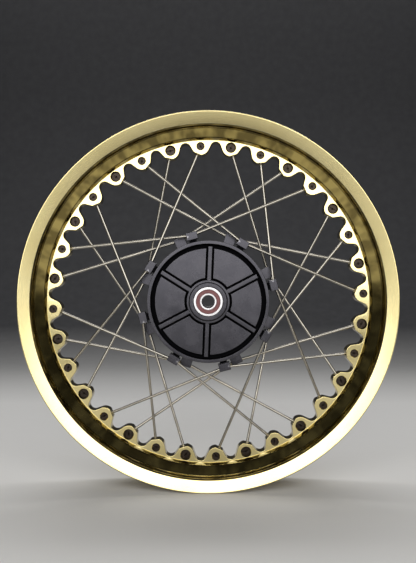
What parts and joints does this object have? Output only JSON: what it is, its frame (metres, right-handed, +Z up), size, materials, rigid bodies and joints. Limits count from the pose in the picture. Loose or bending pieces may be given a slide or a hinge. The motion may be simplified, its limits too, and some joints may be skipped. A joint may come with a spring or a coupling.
{
  "type": "spoked motorcycle wheel",
  "caption": "Tubeless gold rim with scalloped spoke lugs, tangential straight-pull steel spokes and a black hub on sealed bearings.",
  "frame": {"origin": "centre of the wheel on the axle line, midway between the rim's lips", "axes": "+Y along the axle from the plain side to the brake disc side, +Z up, +X to the right seen from the plain side"},
  "size_m": [0.5106, 0.0902, 0.5106],
  "materials": {
    "rim_gold": "gold anodised, brushed lip, polished barrel",
    "hub_black": "satin black anodised",
    "spoke_steel": "drawn stainless steel",
    "bearing_steel": "ground bearing steel",
    "seal_rubber": "matte reddish brown",
    "spacer_aluminium": "plain machined"
  },
  "bodies": {
    "axle_core": {"front_bearing_inner_race": "bearing_steel", "rear_bearing_inner_race": "bearing_steel", "bearing_spacer_tube": "spacer_aluminium"},
    "wheel": {"rim": "rim_gold", "hub": "hub_black", "spoke_front_leading_1": "spoke_steel", "spoke_front_leading_2": "spoke_steel", "spoke_front_leading_3": "spoke_steel", "spoke_front_leading_4": "spoke_steel", "spoke_front_leading_5": "spoke_steel", "spoke_front_leading_6": "spoke_steel", "spoke_front_leading_7": "spoke_steel", "spoke_front_leading_8": "spoke_steel", "spoke_front_trailing_1": "spoke_steel", "spoke_front_trailing_2": "spoke_steel", "spoke_front_trailing_3": "spoke_steel", "spoke_front_trailing_4": "spoke_steel", "spoke_front_trailing_5": "spoke_steel", "spoke_front_trailing_6": "spoke_steel", "spoke_front_trailing_7": "spoke_steel", "spoke_front_trailing_8": "spoke_steel", "spoke_rear_leading_1": "spoke_steel", "spoke_rear_leading_2": "spoke_steel", "spoke_rear_leading_3": "spoke_steel", "spoke_rear_leading_4": "spoke_steel", "spoke_rear_leading_5": "spoke_steel", "spoke_rear_leading_6": "spoke_steel", "spoke_rear_leading_7": "spoke_steel", "spoke_rear_leading_8": "spoke_steel", "spoke_rear_trailing_1": "spoke_steel", "spoke_rear_trailing_2": "spoke_steel", "spoke_rear_trailing_3": "spoke_steel", "spoke_rear_trailing_4": "spoke_steel", "spoke_rear_trailing_5": "spoke_steel", "spoke_rear_trailing_6": "spoke_steel", "spoke_rear_trailing_7": "spoke_steel", "spoke_rear_trailing_8": "spoke_steel", "front_bearing_outer_race": "bearing_steel", "rear_bearing_outer_race": "bearing_steel", "front_bearing_outside_seal": "seal_rubber", "front_bearing_inside_seal": "seal_rubber", "rear_bearing_outside_seal": "seal_rubber", "rear_bearing_inside_seal": "seal_rubber"},
    "front_ball_cage": {"front_bearing_balls": "bearing_steel"},
    "rear_ball_cage": {"rear_bearing_balls": "bearing_steel"}
  },
  "joints": [
    {"name": "wheel_spin", "type": "hinge", "parent": "axle_core", "child": "wheel", "pos_m": [0, 0, 0], "axis": [0, 1, 0], "continuous": true},
    {"name": "front_balls_orbit", "type": "hinge", "parent": "axle_core", "child": "front_ball_cage", "pos_m": [0, -0.029, 0], "axis": [0, 1, 0], "continuous": true},
    {"name": "rear_balls_orbit", "type": "hinge", "parent": "axle_core", "child": "rear_ball_cage", "pos_m": [0, 0.029, 0], "axis": [0, 1, 0], "continuous": true}
  ],
  "couplings": [
    {"joint": "front_balls_orbit", "follows": "wheel_spin", "ratio": 0.6184},
    {"joint": "rear_balls_orbit", "follows": "wheel_spin", "ratio": 0.6184}
  ]
}
